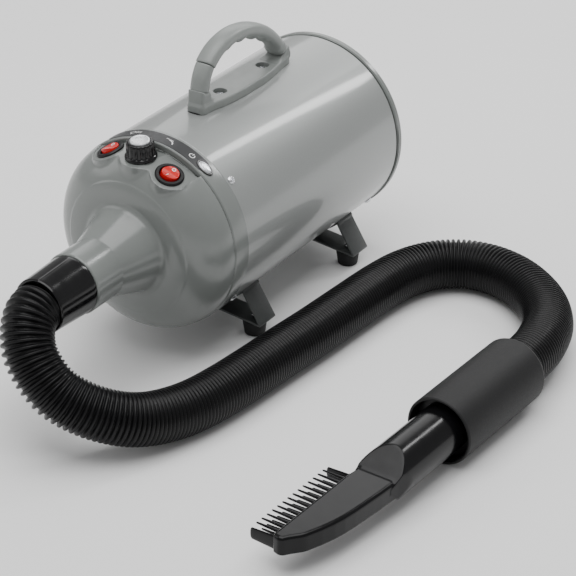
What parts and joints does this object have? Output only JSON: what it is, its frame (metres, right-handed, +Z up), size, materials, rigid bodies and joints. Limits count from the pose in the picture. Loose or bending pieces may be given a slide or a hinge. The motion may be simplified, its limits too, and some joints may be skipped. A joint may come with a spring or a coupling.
{
  "type": "pet dryer",
  "caption": "Barrel-shaped pet grooming dryer with top handle, rocker switches, speed knob, rubber feet and a ribbed hose ending in a comb nozzle.",
  "frame": {"origin": "on the floor under the middle of the dryer's body, snout tip to rear cover", "axes": "+Z up, air leaves towards -Y, +X to the left of someone who stands behind it looking at the rear cover"},
  "size_m": [0.4243, 0.5034, 0.2554],
  "materials": {
    "grey_plastic": "satin moulded plastic",
    "barrel_paint": "satin metallic silver-grey paint",
    "bracket_paint": "satin dark grey paint",
    "black_gloss": "gloss moulded black",
    "black_matte": "soft matte black",
    "hose_black": "semi-gloss ribbed black hose",
    "rubber": "matte black rubber",
    "chrome": "bright plated",
    "red_plastic": "gloss red",
    "silver_cap": "spun silver",
    "label_dark": "dark grey printed film",
    "foam": "open-cell foam",
    "steel": "plain steel",
    "copper": "copper winding",
    "brass": "plain brass",
    "carbon": "carbon",
    "mica": "mica sheet",
    "board": "solder-masked board",
    "white_plastic": "natural nylon"
  },
  "bodies": {
    "dryer": {"barrel_shell": "barrel_paint", "front_ring": "grey_plastic", "front_cap": "grey_plastic", "rear_frame": "grey_plastic", "cord_gland": "rubber", "barrel_liner": "foam", "outlet_grille": "black_matte", "label_strip": "label_dark", "status_lens": "silver_cap", "switch_body_left": "black_gloss", "switch_body_right": "black_gloss", "potentiometer": "steel", "handle_base": "grey_plastic", "handle_front_leg": "grey_plastic", "handle_grip": "grey_plastic", "handle_screws": "chrome", "front_bracket": "bracket_paint", "rear_bracket": "bracket_paint", "bracket_screws": "chrome", "rubber_feet": "rubber", "foot_screws": "chrome", "shell_screws": "chrome", "baffle": "steel", "mount_ring": "rubber", "fan_case": "steel", "motor_can": "steel", "stator": "steel", "field_coils": "copper", "motor_bearings": "chrome", "brush_holders": "brass", "carbon_brushes": "carbon", "motor_spider": "steel", "nose_ring": "rubber", "heater_sleeve": "steel", "heater_frame": "mica", "heater_coil": "copper", "thermal_cutout": "steel", "control_board": "board", "board_posts": "white_plastic", "heatsink": "silver_cap", "terminal_block": "white_plastic", "wiring": "red_plastic"},
    "rear_cover": {"rear_cover": "grey_plastic", "filter_foam": "foam"},
    "rocker_left": {"rocker_left": "red_plastic"},
    "rocker_right": {"rocker_right": "red_plastic"},
    "knob": {"speed_knob": "black_gloss", "knob_cap": "silver_cap", "pot_shaft": "silver_cap"},
    "rotor": {"rotor_shaft": "steel", "commutator": "copper", "armature": "copper", "impeller": "steel", "fan_nut": "chrome"},
    "hose_assembly": {"hose_cuff": "black_gloss", "hose": "hose_black", "grip_sleeve": "black_matte"},
    "collar": {"swivel_collar": "black_matte"},
    "nozzle": {"nozzle_body": "black_gloss", "comb_teeth": "black_gloss"}
  },
  "joints": [
    {"name": "rear_cover_pull", "type": "slide", "parent": "dryer", "child": "rear_cover", "axis": [0, 1, 0], "range_m": [0, 0.03]},
    {"name": "rocker_left_tilt", "type": "hinge", "parent": "dryer", "child": "rocker_left", "pos_m": [-0.03044, -0.09373, 0.18123], "axis": [0.9336, 0, 0.3584], "range_deg": [0, 16]},
    {"name": "rocker_right_tilt", "type": "hinge", "parent": "dryer", "child": "rocker_right", "pos_m": [0.03154, -0.09833, 0.17723], "axis": [0.9336, 0, -0.3584], "range_deg": [0, 16]},
    {"name": "speed_knob_turn", "type": "hinge", "parent": "dryer", "child": "knob", "pos_m": [0.002, -0.0963, 0.1876], "axis": [0, -0.0698, 0.9976], "range_deg": [-280, 0]},
    {"name": "fan_spin", "type": "hinge", "parent": "dryer", "child": "rotor", "pos_m": [0, 0.06, 0.11], "axis": [0, 1, 0], "continuous": true},
    {"name": "hose_pull", "type": "slide", "parent": "dryer", "child": "hose_assembly", "axis": [0, -1, 0], "range_m": [0, 0.03]},
    {"name": "collar_swivel", "type": "hinge", "parent": "hose_assembly", "child": "collar", "pos_m": [0.3025, -0.111, 0.03], "axis": [0.0401, 0.9992, 0], "continuous": true},
    {"name": "nozzle_pull", "type": "slide", "parent": "collar", "child": "nozzle", "axis": [-0.0401, -0.9992, 0], "range_m": [0, 0.045]}
  ]
}
